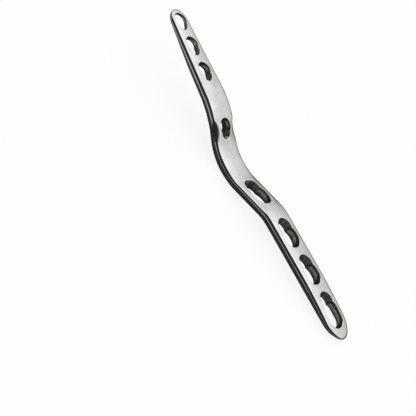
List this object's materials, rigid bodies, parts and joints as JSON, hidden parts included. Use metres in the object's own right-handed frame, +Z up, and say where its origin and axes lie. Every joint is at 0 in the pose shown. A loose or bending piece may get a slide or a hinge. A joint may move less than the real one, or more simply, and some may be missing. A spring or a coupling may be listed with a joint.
{
  "type": "contoured orthopedic bone plate",
  "caption": "Narrow polished steel plate bent over the wrist, with combination screw holes and a thin tapered tip.",
  "frame": {"origin": "middle of the plate's box, on the surface that it rests on, bone side down", "axes": "+X along the plate to the wide end, +Y across it, +Z up, out of the side away from the bone"},
  "size_m": [0.1146, 0.0108, 0.0172],
  "materials": {
    "polished_steel": "polished"
  },
  "bodies": {
    "root": {"bone_plate": "polished_steel"}
  },
  "joints": []
}
